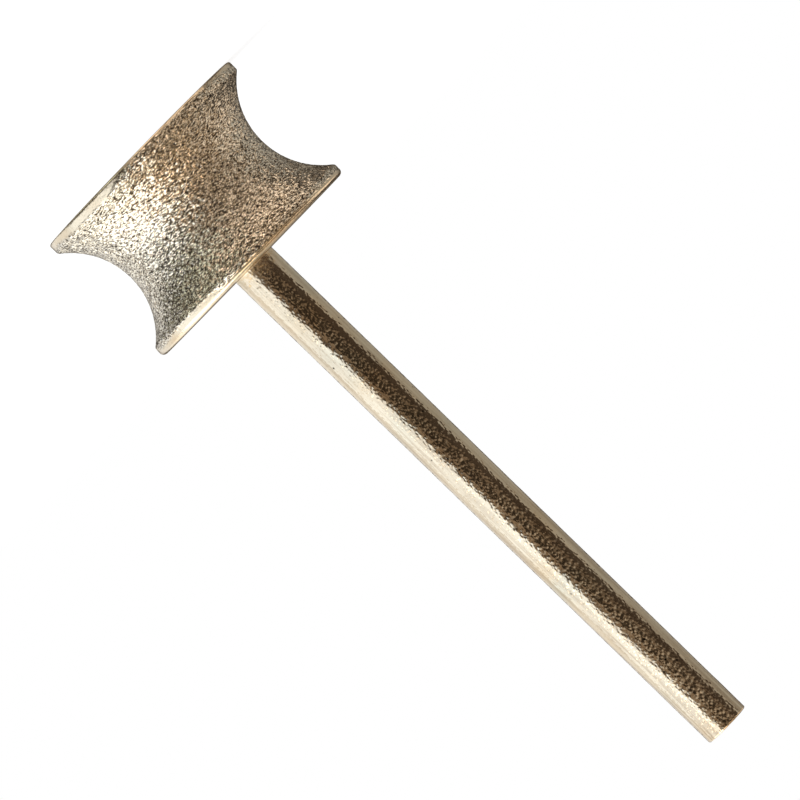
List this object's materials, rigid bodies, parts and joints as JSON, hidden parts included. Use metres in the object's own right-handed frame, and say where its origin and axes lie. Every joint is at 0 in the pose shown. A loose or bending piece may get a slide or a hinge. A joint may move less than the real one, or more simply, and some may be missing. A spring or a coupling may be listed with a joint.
{
  "type": "diamond grinding head",
  "caption": "Spool-shaped abrasive head with a concave working groove, pressed on a plain round shank for a collet, for grinding rounded edges and beads.",
  "frame": {"origin": "centre of the head's flat outer end face", "axes": "+Z along the axis of rotation, from the head's outer end towards the shank's free end; X and Y are any two cross directions, because the part is round"},
  "size_m": [0.0152, 0.0152, 0.0484],
  "materials": {
    "diamond_plating": "pale gold nickel plating over diamond grit, rough and glinting in the groove and smoother on the rims and ends",
    "plated_shank": "pale gold plating, shiny, with a fine pebbled skin and faint lengthwise streaks"
  },
  "bodies": {
    "root": {"head": "diamond_plating", "shank": "plated_shank"}
  },
  "joints": []
}
